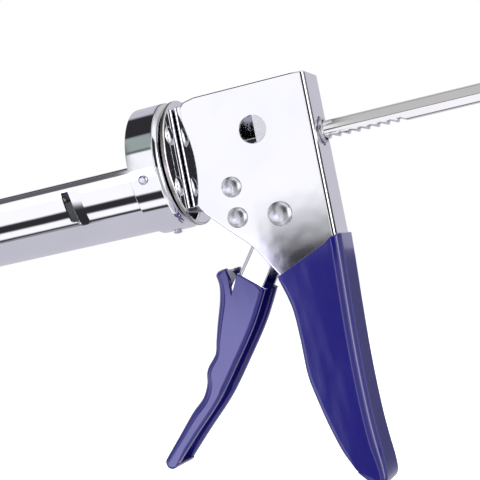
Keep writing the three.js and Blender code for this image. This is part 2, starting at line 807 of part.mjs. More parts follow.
function rodGroup() {
  const group = new THREE.Group();
  group.add(
    piece("rod_guide", "zinc", rodGuide()),
    piece("push_rod", "chrome", pushRod()),
    piece("plunger_disc", "chrome", plungerDisc()),
    piece("plunger_backing", "zinc", plungerBacking()),
    piece("plunger_rivet", "zinc", plungerRivet()),
  );
  return group;
}

const gun = new THREE.Group();
const catchPiece = piece("holding_pawl", "steel", holdingPawl());
gun.add(frameGroup(), cradleGroup(), triggerGroup(), rodGroup(), catchPiece);
gun.position.x = -PLUNGER_FACE;

export default gun;
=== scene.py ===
"""A ratchet caulking gun: chromed sheet steel, a toothed rod and dipped vinyl grips, round its CAD frame.

Shapes are drawn in millimetres, with X = 0 at the mouth of the rear cup and Z = 0 on the barrel's axis,
and placed in the CAD's frame in metres. +X runs rearwards, +Y is the gun's right side and +Z is up.
"""

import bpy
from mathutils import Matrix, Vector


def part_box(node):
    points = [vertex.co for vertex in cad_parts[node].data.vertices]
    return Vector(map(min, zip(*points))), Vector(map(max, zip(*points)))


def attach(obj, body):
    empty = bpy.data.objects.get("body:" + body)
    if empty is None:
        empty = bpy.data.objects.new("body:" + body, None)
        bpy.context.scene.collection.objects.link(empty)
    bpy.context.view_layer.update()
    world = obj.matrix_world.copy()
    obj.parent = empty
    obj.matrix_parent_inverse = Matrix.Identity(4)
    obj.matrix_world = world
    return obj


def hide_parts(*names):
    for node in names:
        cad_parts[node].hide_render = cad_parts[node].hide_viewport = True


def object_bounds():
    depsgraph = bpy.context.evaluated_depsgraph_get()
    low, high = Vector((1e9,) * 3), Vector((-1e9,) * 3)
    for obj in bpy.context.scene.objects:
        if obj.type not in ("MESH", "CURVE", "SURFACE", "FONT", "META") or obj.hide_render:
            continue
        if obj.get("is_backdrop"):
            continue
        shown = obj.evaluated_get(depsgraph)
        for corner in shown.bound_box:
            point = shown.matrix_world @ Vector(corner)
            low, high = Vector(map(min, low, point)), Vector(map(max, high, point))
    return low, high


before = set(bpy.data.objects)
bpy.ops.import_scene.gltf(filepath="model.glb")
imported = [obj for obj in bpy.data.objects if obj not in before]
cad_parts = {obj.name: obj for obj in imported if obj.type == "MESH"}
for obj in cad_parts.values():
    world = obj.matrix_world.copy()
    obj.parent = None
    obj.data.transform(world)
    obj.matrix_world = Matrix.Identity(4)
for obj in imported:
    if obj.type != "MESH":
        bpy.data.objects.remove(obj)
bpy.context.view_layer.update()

from math import acos, asin, atan2, cos, pi, radians, sin, tan

import bmesh
import bpy
from mathutils import Matrix, Vector

MM = 0.001

# ---- how finely shapes are drawn ----
TINY = 1e-6
TURNED_SIDES = 96
FOLD_STEPS = 8
RIM_STEPS = 8
EDGE_STEPS = 4
EASE = 0.4  # the least length between a rounded end and the next point of a line
HARD_EDGE = radians(42)  # the least angle that isn't shaded smooth
BEVELLED = radians(60)  # the least angle that gets a bevel

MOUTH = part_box("rear_cup")[0][0]

# ---- the gun's own sizes, in millimetres ----
SHEET = 1.5
EDGE = 0.3  # how much a cut edge is rounded
PROUD = 0.02  # how far the folded edges stand outside the side sheets
GAP = 0.3
VINYL = 1.3
COAT = GAP + VINYL  # from the steel's face to the vinyl's
COAT_ROUND = 1.9  # how far the coat's free edge is rounded back
INNER_FOLD = 0.4  # the least radius inside a fold
BODY_FOLD = 2
FRONT_FOLD = 2.2
TRIGGER_FOLD = 2
CRADLE_WALL = 1.2
SWIVEL_HOLE = 6.3
BODY_FRONT = 18.9
BODY_TOP = 25.8
SPINE_X = 80
HANDLE_FRONT = [
    (53, -58.5), (56.3, -71), (57.1, -85), (57.2, -100), (59.2, -111), (62.1, -123),
    (65.9, -134.6), (70.2, -142.4),
]
HANDLE_BACK = [
    (79.6, -56), (78.6, -78), (78, -100), (78.2, -122), (79.4, -142),
    (78.8, -148.6), (76.2, -149.4), (73.2, -146.6),
]
DIP_FRONT = (51.4, -57.2)
DIP_BACK = (77.1, -46)
GRIP_TOP = -44.1
GRIP_LEAN = 0.42  # how steeply the coat's top edge crosses the fold
GRIP_FOLD = 4.5
GUIDE_HOLE = 6.3
CUTTER_HOLE = (53, 6.4, 6)
# The trigger's finger side: X, Z, and there the vinyl's fold and its thickness from skin to skin.
FINGER_SIDE = [
    (-15.4, -127.4, 2.4, 1.8),
    (-7, -118, 3, 3),
    (0.7, -109.4, 3.4, 3.8),
    (7, -103.6, 3.6, 3.8),
    (10.2, -97.6, 3.8, 4.4),
    (12, -91.6, 2.8, 4.7),
    (17.1, -85.6, 2.4, 4.7),
    (18.9, -79.4, 2.6, 4.7),
    (20.9, -72, 3.2, 4.7),
    (23.7, -63, 3.6, 4.7),
    (25.1, -56, 3, 4.5),
    (24.4, -50, 2.4, 4.2),
]
TONGUE_DEPTH = 5.7  # from skin to skin where the coated web stands up above the sides
TONGUE_FOOT = (28.9, -61)
THUMB_SIDE = [
    (42.6, -60.6), (34.9, -74.2), (24.6, -88.4), (12.4, -103.8), (-1.7, -117.6),
    (-12.6, -128.6),
]
TRIGGER_ARM = [
    (54.4, 14.6, 0.8), (53.2, 13.4, 0.8), (53.2, -1, 4), (50.6, -14, 8),
    (47.6, -29, 6), (45.8, -38.2, 4), (33.6, -55, 2), (34, -66, 1), (40, -66, 1),
    (42.6, -60.6, 1), (49.1, -51.6, 3), (60.5, -40.4, 4), (66.4, -33, 5),
    (66.4, -26, 6), (64.6, -12, 4), (62.6, 12, 1), (60.4, 14.6, 1),
]
TRIGGER_FRONT = [(28.5, -59.5), (33.8, -52), (44.2, -37.4), (48.4, -26)]
BLADE = [(53.3, 13, 0.4), (53.3, -4, 0.4), (61, -4, 0.4), (61, 13, 0.4)]
TRIGGER_DIP = [(44.6, -61.6), (33, -52.4)]
TOOTH_PITCH = 4.3
TOOTH_COUNT = 50
TOOTH_LAST = 117
TOOTH_TOP = -2.3
TOOTH_LAND = 0.7
ROD_CHAMFER = 0.6


# ---- where things are ----
def at(x, y, z):
    """A point of the drawing, in the CAD's frame."""
    return Vector((MOUTH + x * MM, y * MM, z * MM))


def extent(node):
    """A CAD node's lowest and highest corner, in the drawing's millimetres."""
    low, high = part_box(node)
    shift = Vector((MOUTH, 0, 0))
    return (Vector(low) - shift) / MM, (Vector(high) - shift) / MM


def middle(node):
    low, high = extent(node)
    return (low + high) / 2


# ---- lines in a plane ----
def filleted(corners, closed=True, steps=EDGE_STEPS):
    """The line through (a, b, radius) corners, with an arc of its radius at each."""
    line = []
    for i, (a, b, radius) in enumerate(corners):
        here = Vector((a, b))
        if not radius or (not closed and i in (0, len(corners) - 1)):
            line.append(here)
            continue
        before = Vector(corners[i - 1][:2]) - here
        after = Vector(corners[(i + 1) % len(corners)][:2]) - here
        half = before.angle(after) / 2
        if half > radians(89):
            line.append(here)
            continue
        reach = min(radius / tan(half), 0.45 * before.length, 0.45 * after.length)
        bend = reach * tan(half)
        centre = here + (before.normalized() + after.normalized()).normalized() * (bend / sin(half))
        start = here + before.normalized() * reach - centre
        end = here + after.normalized() * reach - centre
        turn = atan2(start.x * end.y - start.y * end.x, start.dot(end))
        for k in range(steps + 1):
            line.append(centre + Matrix.Rotation(turn * k / steps, 2) @ start)
    return line


def spline(points, steps, values=None):
    """A Catmull-Rom curve through the points, and the values at them carried along it."""
    ends = [points[0], *points, points[-1]]
    given = values or [0] * len(points)
    carried = [given[0], *given, given[-1]]
    line, along = [], []
    for i in range(len(points) - 1):
        near = [Vector(p) for p in ends[i:i + 4]]
        for k in range(steps if i < len(points) - 2 else steps + 1):
            t = k / steps
            weights = (
                -0.5 * t + t * t - 0.5 * t**3,
                1 - 2.5 * t * t + 1.5 * t**3,
                0.5 * t + 2 * t * t - 1.5 * t**3,
                -0.5 * t * t + 0.5 * t**3,
            )
            line.append(sum((p * w for p, w in zip(near, weights)), Vector((0, 0))))
            along.append(sum(v * w for v, w in zip(carried[i:i + 4], weights)))
    return (line, along) if values else line


def quarter(steps):
    """The angles of a quarter turn, in equal steps."""
    return [pi / 2 * k / steps for k in range(steps + 1)]


def half_circle(start, end):
    """The half circle from start to end that keeps its centre on the right, without the end."""
    centre, steps = (start + end) / 2, 8
    return [centre + Matrix.Rotation(-pi * k / steps, 2) @ (start - centre) for k in range(steps)]


def left_of(a, b):
    """The unit normal on the left of the way from a to b."""
    way = (b - a).normalized()
    return Vector((-way.y, way.x))


def normals_of(line, closed):
    """At each point, the left normal of its corner, lengthened so that a moved line keeps its distance."""
    found = []
    last = len(line) - 1
    for i, here in enumerate(line):
        before = line[i - 1] if closed or i else None
        after = line[(i + 1) % len(line)] if closed or i < last else None
        sides = [left_of(*pair) for pair in ((before, here), (here, after)) if None not in pair]
        mean = sum(sides, Vector((0, 0))).normalized()
        found.append(mean / max(0.6, mean.dot(sides[0])))
    return found


def moved(line, distance, closed=False):
    return [p + n * distance for p, n in zip(line, normals_of(line, closed))]


def area_of(line):
    return sum(a.x * b.y - b.x * a.y for a, b in zip(line, line[1:] + line[:1])) / 2


# ---- meshes ----
def new_object(name, data):
    obj = bpy.data.objects.new(name, data)
    bpy.context.scene.collection.objects.link(obj)
    return obj


def bridge(bm, a, b, closed=True):
    """Faces between two rows of vertices. A row of one is a pole."""
    count = max(len(a), len(b))
    for i in range(count if closed else count - 1):
        j = (i + 1) % count
        corners = [a[i % len(a)], a[j % len(a)], b[j % len(b)], b[i % len(b)]]
        distinct = list(dict.fromkeys(corners))
        if len(distinct) > 2:
            bm.faces.new(distinct)


def mesh_of(bm, name):
    """The finished shape as a mesh. A mesh stays as it is."""
    if isinstance(bm, bpy.types.Mesh):
        return bm
    bmesh.ops.recalc_face_normals(bm, faces=bm.faces)
    mesh = bpy.data.meshes.new(name)
    bm.to_mesh(mesh)
    bm.free()
    return mesh


def turned(bm, profile, place, sides=TURNED_SIDES, closed=False):
    """A line of (along, radius) points turned round an axis. Place puts (along, across, up) in the frame."""
    rings = []
    for along, radius in profile:
        count = 1 if radius < TINY else sides
        angles = [2 * pi * i / sides for i in range(count)]
        rings.append([bm.verts.new(place(along, radius * cos(t), radius * sin(t))) for t in angles])
    for a, b in zip(rings, rings[1:] + (rings[:1] if closed else [])):
        bridge(bm, a, b)


def along_y(x, z):
    """Places a turned shape round the line along Y through (x, z)."""
    return lambda along, across, up: at(x + across, along, z + up)


def outwards(x, angle):
    """Places a turned shape round a line out from the barrel's axis at an angle from +Y."""
    turn = Matrix.Rotation(angle, 3, "X")
    return lambda along, across, up: at(*(turn @ Vector((x + across, along, up))))


def plate(bm, outline, low, high, place, edge=EDGE):
    """An outline swept from low to high with its edges rounded. Place puts (a, b, level) in the frame."""
    inward = -1 if area_of(outline) < 0 else 1
    lower = [(edge * (1 - sin(t)), low + edge * (1 - cos(t))) for t in quarter(EDGE_STEPS)]
    levels = lower + [(inset, high + low - level) for inset, level in reversed(lower)]
    rows = []
    for inset, level in levels:
        line = moved(outline, inward * inset, closed=True)
        rows.append([bm.verts.new(place(p.x, p.y, level)) for p in line])
    for a, b in zip(rows, rows[1:]):
        bridge(bm, a, b)
    bm.faces.new(rows[0])
    bm.faces.new(rows[-1])


def upright(a, b, level):
    """For a plate drawn from the side, in X and Z."""
    return at(a, level, b)


def crosswise(a, b, level):
    """For a plate drawn from the front, in Y and Z."""
    return at(level, a, b)


def tube(bm, path, radius, sides=10):
    """A round bar along a line of points, with domed ends."""
    rows = []
    across = Vector((0, 1, 0))
    last = len(path) - 1
    for i, here in enumerate(path):
        way = (path[min(i + 1, last)] - path[max(i - 1, 0)]).normalized()
        across = (across - way * across.dot(way)).normalized()
        up = way.cross(across)
        ends = [(1, 0)]
        if i in (0, last):
            ends += [(cos(t), sin(t) * (1 if i else -1)) for t in quarter(6)[1:]]
        rings = []
        for size, beyond in ends:
            middle_of_ring = here + way * radius * beyond
            count = 1 if size < TINY else sides
            ring = []
            for k in range(count):
                t = 2 * pi * k / sides
                ring.append(middle_of_ring + (across * cos(t) + up * sin(t)) * radius * size)
            rings.append(ring)
        rows += rings if i else rings[::-1]
    made = [[bm.verts.new(at(*p)) for p in ring] for ring in rows]
    for a, b in zip(made, made[1:]):
        bridge(bm, a, b)


def skin(bm, spine, folds, rim, half, lean):
    """Two flat sides and the spine between them, joined by quarter-round folds whose first end leans
    along the spine. Returns its open edge."""
    rows = []
    along = (spine[1] - spine[0]).normalized()
    for here, normal, fold in zip(spine, normals_of(spine, closed=False), folds):
        slope = along * lean if not rows else Vector((0, 0))
        side = []
        for turn in quarter(FOLD_STEPS):
            p = here + (normal - slope) * fold * (sin(turn) - 1)
            side.append((p.x, half - fold * (1 - cos(turn)), p.y))
        row = [at(x, -y, z) for x, y, z in side] + [at(x, y, z) for x, y, z in reversed(side)]
        rows.append([bm.verts.new(p) for p in row])
    for a, b in zip(rows, rows[1:]):
        bridge(bm, a, b, closed=False)
    left, right = ([bm.verts.new(at(p.x, side * half, p.y)) for p in rim] for side in (-1, 1))
    bm.faces.new([row[0] for row in rows] + left)
    bm.faces.new([row[-1] for row in rows] + right)
    return [*rows[0], *reversed(right), *reversed(rows[-1]), *left]


def channel(bm, spine, folds, walls, rim, half, wall, reach, lean=0.0):
    """A sheet folded into a U. Its spine has the outside on the left, rim closes the side's outline, and
    reach is how far each point of the rim is rounded back, then the spine's first and last."""
    whole = normals_of(spine + rim, closed=True)[len(spine):]
    *rim_reach, first_reach, last_reach = reach
    first, last = (spine[0] - spine[1]).normalized(), (spine[-1] - spine[-2]).normalized()
    kept = [i for i, p in enumerate(spine)
            if (p - spine[0]).length > first_reach + EASE and (p - spine[-1]).length > last_reach + EASE]
    drawn = [spine[0] - first * first_reach, *(spine[i] for i in kept), spine[-1] - last * last_reach]
    folds, walls = ([values[0], *(values[i] for i in kept), values[-1]] for values in (folds, walls))
    drawn_rim = [p - n * r for p, n, r in zip(rim, whole, rim_reach)]
    inside = [p - n * w for p, n, w in zip(drawn, normals_of(drawn, closed=False), walls)]
    inner_folds = [max(fold - w, INNER_FOLD) for fold, w in zip(folds, walls)]
    outer = skin(bm, drawn, folds, drawn_rim, half, lean)
    inner = skin(bm, inside, inner_folds, drawn_rim, half - wall, lean)
    across = 2 * (FOLD_STEPS + 1)
    rim_out = [n * r for n, r in zip(whole, rim_reach)]
    out = [first * first_reach] * across + rim_out[::-1] + [last * last_reach] * across + rim_out
    rows = [outer]
    for k in range(1, RIM_STEPS):
        turn = pi * k / RIM_STEPS
        row = []
        for a, b, way in zip(outer, inner, out):
            centre, arm = (a.co + b.co) / 2, (a.co - b.co) / 2
            beyond = Vector((way.x, 0, way.y)) * MM * sin(turn)
            row.append(bm.verts.new(centre + arm * cos(turn) + beyond))
        rows.append(row)
    rows.append(inner)
    for a, b in zip(rows, rows[1:]):
        bridge(bm, a, b)


def folded_edge(bm, line, half, fold, depth):
    """The edges of two side sheets folded towards each other along a line with its outside on the left."""
    arc = quarter(FOLD_STEPS)
    bend, tail = fold - SHEET, 1.6
    outer = [(-fold - tail, half)]
    outer += [(fold * (sin(t) - 1), half - fold * (1 - cos(t))) for t in arc]
    outer += [(0, half - depth)]
    inner = [(-fold - tail, half - SHEET)]
    inner += [(bend * sin(t) - fold, half - fold + bend * cos(t)) for t in arc]
    inner += [(-SHEET, half - depth)]
    for side in (-1, 1):
        rows = []
        for here, normal in zip(line, normals_of(line, closed=False)):
            section = [(here + normal * beyond, y) for beyond, y in outer + inner[::-1]]
            rows.append([bm.verts.new(at(p.x, side * y, p.y)) for p, y in section])
        for a, b in zip(rows, rows[1:]):
            bridge(bm, a, b)
        bm.faces.new(rows[0])
        bm.faces.new(rows[-1])


def punch(bm, face, inwards, radius, place):
    """A cutter for a round hole in a sheet, which rounds the hole's edge at the sheet's face."""
    depth, lip, clear = 3, 0.7, 0.01
    outside, inside = face - inwards * depth, face + inwards * depth
    skim = face - inwards * clear
    profile = [(outside, 0, 0), (outside, radius + lip, 0), (skim, radius + lip, 0)]
    profile += [(skim, radius, EDGE), (inside, radius, 0), (inside, 0, 0)]
    turned(bm, filleted(profile, closed=False), place, sides=64)


def drill(start, end, radius, place, sides=48):
    """A cutter for a plain round hole."""
    bm = bmesh.new()
    turned(bm, [(start, 0), (start, radius), (end, radius), (end, 0)], place, sides=sides)
    return bm


def drilled(shape, cutter):
    """The shape with a second one cut out of it."""
    objects = [new_object("cut", mesh_of(s, "cut")) for s in (shape, cutter)]
    difference = objects[0].modifiers.new("cut", "BOOLEAN")
    difference.object = objects[1]
    difference.solver = "EXACT"
    seen = bpy.context.evaluated_depsgraph_get()
    made = bpy.data.meshes.new_from_object(objects[0].evaluated_get(seen))
    for obj in objects:
        bpy.data.objects.remove(obj)
    return made


# ---- materials ----
def new_material(name, slot):
    material = bpy.data.materials.new(name)
    material.use_nodes = True
    material["slot"] = slot
    nodes = material.node_tree.nodes
    return material, material.node_tree.links, nodes, nodes["Principled BSDF"]


def position_noise(nodes, links, scale, detail=2, stretch=(1, 1, 1)):
    """Noise in the object's own metres, squeezed along the given axes."""
    place = nodes.new("ShaderNodeTexCoord")
    mapping = nodes.new("ShaderNodeMapping")
    mapping.inputs["Scale"].default_value = stretch
    noise = nodes.new("ShaderNodeTexNoise")
    noise.inputs["Scale"].default_value = scale
    noise.inputs["Detail"].default_value = detail
    links.new(place.outputs["Object"], mapping.inputs["Vector"])
    links.new(mapping.outputs["Vector"], noise.inputs["Vector"])
    return noise.outputs["Fac"]


def between(nodes, links, value, low, high):
    """The value, from 0 to 1, mapped onto low to high."""
    span = nodes.new("ShaderNodeMapRange")
    span.inputs["To Min"].default_value = low
    span.inputs["To Max"].default_value = high
    links.new(value, span.inputs["Value"])
    return span.outputs["Result"]


def two_colours(nodes, links, value, low, high):
    mix = nodes.new("ShaderNodeMix")
    mix.data_type = "RGBA"
    mix.inputs["A"].default_value = (*low, 1)
    mix.inputs["B"].default_value = (*high, 1)
    links.new(value, mix.inputs["Factor"])
    return mix.outputs["Result"]


def bump(nodes, links, height, distance, under=None):
    made = nodes.new("ShaderNodeBump")
    made.inputs["Distance"].default_value = distance
    made.inputs["Strength"].default_value = 1
    links.new(height, made.inputs["Height"])
    if under:
        links.new(under, made.inputs["Normal"])
    return made.outputs["Normal"]


def metal(name, slot, dark, light, smooth, rough, wave, grain, stretch=(1, 1, 1)):
    """Plated or bare metal: stretched grain in its gloss and colour, over a slow unevenness of the sheet."""
    material, links, nodes, shader = new_material(name, slot)
    shader.inputs["Metallic"].default_value = 1
    slow = position_noise(nodes, links, 45)
    fine = position_noise(nodes, links, 900, detail=4, stretch=stretch)
    links.new(two_colours(nodes, links, slow, dark, light), shader.inputs["Base Color"])
    links.new(between(nodes, links, fine, smooth, rough), shader.inputs["Roughness"])
    waves = bump(nodes, links, slow, wave)
    links.new(bump(nodes, links, fine, grain, waves), shader.inputs["Normal"])
    return material


def vinyl_material():
    """Dipped vinyl: a deep glossy blue with slow runs and a fine orange peel."""
    run_height, peel_height = 1.8e-4, 6e-6
    material, links, nodes, shader = new_material("dipped_vinyl", "vinyl")
    runs = position_noise(nodes, links, 60, stretch=(1, 1, 0.4))
    peel = position_noise(nodes, links, 1400, detail=1)
    colour = two_colours(nodes, links, runs, (0.0065, 0.0045, 0.11), (0.009, 0.0065, 0.14))
    links.new(colour, shader.inputs["Base Color"])
    links.new(between(nodes, links, peel, 0.08, 0.16), shader.inputs["Roughness"])
    shader.inputs["Specular IOR Level"].default_value = 0.5
    shader.inputs["Coat Weight"].default_value = 0.8
    shader.inputs["Coat Roughness"].default_value = 0.05
    slow = bump(nodes, links, runs, run_height)
    links.new(bump(nodes, links, peel, peel_height, slow), shader.inputs["Normal"])
    return material


# Each metal's darkest and lightest colour, its least and greatest roughness, and in metres the height of
# its waves and of its grain.
CHROME = metal("chrome_plate", "chrome", (0.8, 0.8, 0.84), (0.9, 0.9, 0.93), 0.03, 0.07, 6e-5, 6e-7)
ROD_CHROME = metal("rod_chrome", "chrome", (0.78, 0.77, 0.78), (0.86, 0.85, 0.86), 0.04, 0.09, 2e-5, 8e-7,
                   stretch=(1, 8, 8))
# A darker, rougher chrome for the faces inside the cup and the trough: its darkness is painted shade.
PAINTED_SHADE_CHROME = metal("painted_shade_chrome", "chrome", (0.2, 0.2, 0.21), (0.3, 0.3, 0.32), 0.3, 0.5, 3e-5, 4e-6)
GROUND_STEEL = metal("ground_steel", "steel", (0.74, 0.74, 0.77), (0.84, 0.84, 0.87), 0.18, 0.3, 1e-5, 3e-6,
                     stretch=(6, 1, 0.6))
SHEARED_EDGE = metal("sheared_edge", "steel", (0.36, 0.32, 0.3), (0.48, 0.44, 0.42), 0.22, 0.34, 2e-5, 6e-6,
                     stretch=(0.5, 3, 3))
ZINC = metal("zinc_plate", "zinc", (0.6, 0.61, 0.65), (0.74, 0.75, 0.79), 0.26, 0.36, 4e-5, 6e-6)
STEEL = metal("rolled_steel", "steel", (0.42, 0.42, 0.44), (0.56, 0.56, 0.58), 0.25, 0.42, 3e-5, 8e-6,
              stretch=(6, 6, 0.6))
SPRING_STEEL = metal("spring_steel", "spring", (0.28, 0.28, 0.3), (0.4, 0.4, 0.42), 0.22, 0.35, 1e-5, 4e-6)
VINYL_BLUE = vinyl_material()


# ---- pieces ----
def piece(name, shape, material, body, *nodes, bevel=0.0):
    """A shown piece, smooth except at its hard edges, that rides on a body and stands for CAD nodes."""
    mesh = mesh_of(shape, name)
    obj = new_object(name, mesh)
    mesh.materials.clear()
    mesh.materials.append(material)
    mesh.polygons.foreach_set("use_smooth", [True] * len(mesh.polygons))
    mesh.set_sharp_from_angle(angle=HARD_EDGE)
    if bevel:
        rounded = obj.modifiers.new("edges", "BEVEL")
        rounded.width = bevel * MM
        rounded.segments = 3
        rounded.limit_method = "ANGLE"
        rounded.angle_limit = BEVELLED
        rounded.use_clamp_overlap = False
        rounded.harden_normals = True
    level = obj.modifiers.new("flats", "WEIGHTED_NORMAL")
    level.keep_sharp = True
    level.weight = 100
    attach(obj, body)
    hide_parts(*nodes)
    return obj


def turned_piece(name, profile, material, body, node, place=at, closed=True):
    bm = bmesh.new()
    turned(bm, filleted(profile, closed), place, closed=closed)
    return piece(name, bm, material, body, node)


def washer(name, node, hole, hole_edge, edge, material, body):
    low, high = extent(node)
    profile = [(low.x, hole, hole_edge), (low.x, high.y, edge)]
    profile += [(high.x, high.y, edge), (high.x, hole, hole_edge)]
    turned_piece(name, profile, material, body, node)


def rear_cup():
    low, high = extent("rear_cup")
    fillet, lip = 3, 0.4
    back, inside = high.x - CRADLE_WALL, high.y - CRADLE_WALL
    profile = [(low.x, high.y, lip), (high.x, high.y, fillet), (high.x, SWIVEL_HOLE, EDGE)]
    profile += [(back, SWIVEL_HOLE, EDGE), (back, inside, fillet - CRADLE_WALL), (low.x, inside, lip)]
    bm = bmesh.new()
    turned(bm, filleted(profile, steps=8), at, sides=128, closed=True)
    # The cup's inner faces get painted shade.
    paint_shade_inside(piece("rear_cup_shell", bm, CHROME, "cradle", "rear_cup"))


def front_plate():
    low, high = extent("front_plate")
    face = low.x + 2
    bump_radius, pitch, sunk = 4, 22.2, 0.5
    bm = bmesh.new()
    disc = [(low.x, high.y, 0.8), (face, high.y, 0.8), (face, SWIVEL_HOLE, 0.2), (low.x, SWIVEL_HOLE, 0.2)]
    turned(bm, filleted(disc, steps=6), at, closed=True)
    dome = [(face - sunk, 0), (face - sunk, bump_radius + 0.6), (face, bump_radius + 0.3)]
    dome += [(face + (high.x - face) * sin(t), bump_radius * cos(t)) for t in quarter(8)[1:]]
    for degrees in (30, 150, 210, 330):
        turn = radians(degrees)
        y, z = pitch * cos(turn), pitch * sin(turn)
        turned(bm, dome, lambda along, across, up, y=y, z=z: at(along, y + across, z + up), sides=32)
    piece("front_plate_disc", bm, CHROME, "frame", "front_plate")
    front, back = low.x + 0.25, face - 0.45
    inner, outer = high.y - 0.3, high.y + 0.06
    rim = [(front, inner, 0), (front, outer, 0.2), (back, outer, 0.2), (back, inner, 0)]
    bm = bmesh.new()
    turned(bm, filleted(rim), at, sides=128, closed=True)
    piece("front_plate_sheared_edge", bm, SHEARED_EDGE, "frame")


def swivel_parts():
    low, high = extent("swivel_bushing")
    bore, tube_radius, back = 4.5, 6, low.x + 2
    bushing = [(low.x, bore, 0.4), (low.x, high.y, 1), (back, high.y, 0.2), (back, tube_radius, 0)]
    bushing += [(high.x, tube_radius, 0.4), (high.x, bore, 0.4)]
    turned_piece("swivel_bushing_turned", bushing, STEEL, "frame", "swivel_bushing")
    washer("swivel_washer_ring", "swivel_washer", SWIVEL_HOLE, 0.1, 0.25, SPRING_STEEL, "frame")
    low, high = extent("swivel_nut")
    turns = [radians(t) for t in range(30, 390, 60)]
    corners = [(high.y * sin(t), high.y * cos(t), 0.6) for t in turns]
    bm = bmesh.new()
    plate(bm, filleted(corners), low.x, high.x, crosswise, edge=0.5)
    mesh = drilled(bm, drill(low.x - 1, high.x + 1, 6.2, at))
    piece("swivel_nut_hex", mesh, ZINC, "frame", "swivel_nut")


def trough_section(radius, wall, curl=0.0):
    """The half round wall, with its rims rolled inwards if it has a curl, as a closed line in Y and Z."""
    steps, roll_steps = 72, 16
    dip = 0.02 if curl else 0
    middle_radius = radius - wall / 2
    turns = [pi + dip + (pi - 2 * dip) * k / steps for k in range(steps + 1)]
    path = [Vector((middle_radius * cos(t), middle_radius * sin(t))) for t in turns]
    if curl:
        roll = [radians(-20 + 190 * k / roll_steps) for k in range(roll_steps)]
        centre = path[0] + Vector((curl, 0))
        left = [centre + curl * Vector((cos(t), sin(t))) for t in roll]
        path = left + path + [Vector((-p.x, p.y)) for p in reversed(left)]
    return moved(path, -wall / 2) + moved(path, wall / 2)[::-1]


def window_cutter(side):
    """Cuts the slot and the opening behind the lanced strap through one side of the trough."""
    slots = [(-34, -2.9, 0.4), (-25.3, -2.9, 0.4), (-25.3, -18.4, 2.4)]
    opening = [(-30.4, -18.4, 2.2), (-31.6, -16.2, 0.4), (-34, -16.2, 0.8)]
    bm = bmesh.new()
    plate(bm, filleted(slots + opening), *sorted((side * 14, side * 32)), upright, edge=0.01)
    return bm


def strap(bm, side, radius, wall):
    """The strap between the slots, pressed in to stop a cartridge."""
    low, high = -31, -25.6
    first_degree, degrees = 3, 44
    steps, depth = 24, 1.5
    rows = []
    corners = [(low, wall / 2), (high, wall / 2), (high, -wall / 2), (low, -wall / 2)]
    section = filleted([(x, level, EDGE) for x, level in corners])
    for k in range(steps + 1):
        t = k / steps
        turn = -radians(first_degree + degrees * t)
        dip = depth * (1 - (2 * t - 1) ** 2)
        ring = []
        for x, level in section:
            reach = radius - wall / 2 - dip + level
            ring.append(bm.verts.new(at(x, side * reach * cos(turn), reach * sin(turn))))
        rows.append(ring)
    for a, b in zip(rows, rows[1:]):
        bridge(bm, a, b)
    bm.faces.new(rows[0])
    bm.faces.new(rows[-1])


def barrel_trough():
    low, high = extent("barrel_trough")
    radius = -low.z
    bm = bmesh.new()
    plate(bm, trough_section(radius, CRADLE_WALL, curl=1.1), low.x, high.x, crosswise)
    wall = bm
    for side in (-1, 1):
        wall = drilled(wall, window_cutter(side))
    bm = bmesh.new()
    bm.from_mesh(wall)
    for side in (-1, 1):
        strap(bm, side, radius, CRADLE_WALL)
    # The trough's inner faces get painted shade.
    paint_shade_inside(piece("barrel_trough_shell", bm, CHROME, "cradle", "barrel_trough"))


def paint_shade_inside(shell):
    """The faces that look at the barrel's axis get a darker, rougher chrome: its dark colour is painted
    shade inside the cup and the trough.
    """
    facing_in = -0.5
    shell.data.materials.append(PAINTED_SHADE_CHROME)
    for face in shell.data.polygons:
        away = Vector((0, face.center.y, face.center.z)).normalized()
        if face.normal.dot(away) < facing_in:
            face.material_index = 1


def nose_plate():
    low, high = extent("nose_plate")
    radius, thick, overlap = high.y, 2, 0.4
    slot = 10.5
    steps, slot_steps = 72, 24
    ear = asin(high.z / radius)
    turns = [pi - ear + (pi + 2 * ear) * k / steps for k in range(steps + 1)]
    slot_turns = [-pi * k / slot_steps for k in range(slot_steps + 1)]
    outline = [Vector((radius * cos(t), radius * sin(t))) for t in turns]
    outline.append(Vector((slot, high.z)))
    outline += [Vector((slot * cos(t), slot * sin(t))) for t in slot_turns]
    outline.append(Vector((-slot, high.z)))
    bm = bmesh.new()
    plate(bm, outline, high.x - thick, high.x, crosswise, edge=0.4)
    plate(bm, trough_section(radius, SHEET), low.x, high.x - thick + overlap, crosswise)
    piece("nose_plate_pressing", bm, CHROME, "cradle", "nose_plate")


def cradle_rivets():
    """Low domed heads inside and outside the walls that they hold."""
    half_length, shank = 2.7, 1.4
    for node in [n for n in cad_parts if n.startswith(("cup_rivet", "nose_rivet"))]:
        centre = middle(node)
        angle = atan2(centre.z, centre.y)
        low, high = extent(node)
        head = (high.x - low.x) / 2
        reach = Vector((centre.y, centre.z)).length
        inner, outer = reach - half_length, reach + half_length
        under, over = inner + 0.7, outer - 0.9
        profile = [(inner, 0, 0), (inner, head * 0.8, EDGE), (under, head, EDGE), (under, shank, 0)]
        profile += [(over, shank, 0), (over, head, 0.4), (outer, head * 0.55, 1.2), (outer, 0, 0)]
        bm = bmesh.new()
        turned(bm, filleted(profile, closed=False, steps=6), outwards(centre.x, angle), sides=32)
        piece(node + "_head", bm, ZINC, "cradle", node)


